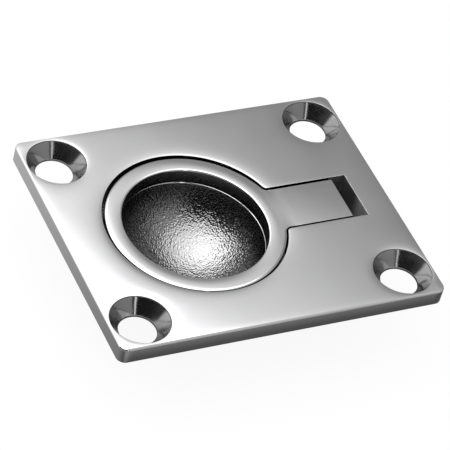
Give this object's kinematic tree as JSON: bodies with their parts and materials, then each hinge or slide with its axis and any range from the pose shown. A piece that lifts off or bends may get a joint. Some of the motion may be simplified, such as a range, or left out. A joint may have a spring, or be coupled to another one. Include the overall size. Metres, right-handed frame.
{
  "type": "recessed pull handle",
  "caption": "Flush ring pull: a countersunk plate with a round finger pan and a ring that folds flat into a keyhole recess on a hidden hinge.",
  "frame": {"origin": "centre of the screw pattern in the plane of the plate's back, which seats on the door", "axes": "+Z out of the door, +X along the plate's long side from the ring to its hinge"},
  "size_m": [0.048, 0.039, 0.0115],
  "materials": {
    "body_plating": "bright chrome plate, polished on the face and edges, as cast in the pan and behind the plate",
    "ring_plating": "bright polished chrome plate",
    "pin_steel": "plain drawn steel"
  },
  "bodies": {
    "body": {"recess_body": "body_plating", "hinge_pin": "pin_steel"},
    "ring": {"ring_handle": "ring_plating"}
  },
  "joints": [
    {"name": "ring_hinge", "type": "hinge", "parent": "body", "child": "ring", "pos_m": [0.0153, 0, -0.0011], "axis": [0, 1, 0], "range_deg": [0, 97]}
  ]
}
